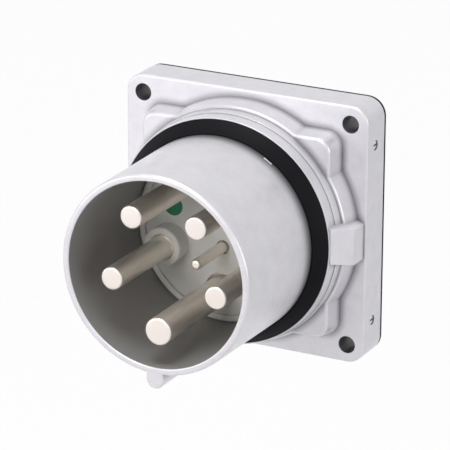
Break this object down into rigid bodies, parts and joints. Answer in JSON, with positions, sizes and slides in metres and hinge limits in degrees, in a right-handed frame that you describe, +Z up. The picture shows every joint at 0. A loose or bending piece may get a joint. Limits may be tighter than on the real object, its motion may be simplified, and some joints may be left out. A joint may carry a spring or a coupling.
{
  "type": "appliance inlet",
  "caption": "Panel-mounted high-current appliance inlet with a silver shroud on a square flange, contact pins, a pilot pin, a black face seal and screw terminals behind.",
  "frame": {"origin": "centre of the panel bolt pattern in the gasket's panel face", "axes": "+Y points behind the panel, -Y out of the shroud's mouth, +Z up with the earth pin lowest"},
  "size_m": [0.114, 0.1355, 0.114],
  "materials": {
    "housing_paint": "silver metallic paint, fine satin grain",
    "gasket_rubber": "flat black sheet rubber",
    "seal_rubber": "moulded black rubber",
    "carrier_plastic": "moulded grey",
    "block_plastic": "moulded dark grey",
    "nickel_plate": "nickel-plated, turned",
    "screw_steel": "zinc-plated",
    "side_screw_steel": "yellow zinc",
    "tinned_copper": "tinned strip",
    "sticker_green": "glossy label"
  },
  "bodies": {
    "root": {"front_housing": "housing_paint", "panel_gasket": "gasket_rubber", "face_seal": "seal_rubber", "carrier_o_ring": "seal_rubber", "contact_carrier": "carrier_plastic", "contact_retainer": "block_plastic", "terminal_divider": "block_plastic", "phase_pin_1": "nickel_plate", "phase_pin_2": "nickel_plate", "phase_pin_3": "nickel_plate", "neutral_pin": "nickel_plate", "earth_pin": "nickel_plate", "pilot_pin": "nickel_plate", "phase_1_clamp_screws": "screw_steel", "phase_2_clamp_screws": "screw_steel", "phase_3_clamp_screws": "screw_steel", "neutral_clamp_screws": "screw_steel", "earth_clamp_screws": "screw_steel", "pilot_clamp_screw": "screw_steel", "carrier_screws": "screw_steel", "retainer_screws": "screw_steel", "earth_bond_strap": "tinned_copper", "side_screws": "side_screw_steel", "inspection_sticker": "sticker_green"}
  },
  "joints": []
}
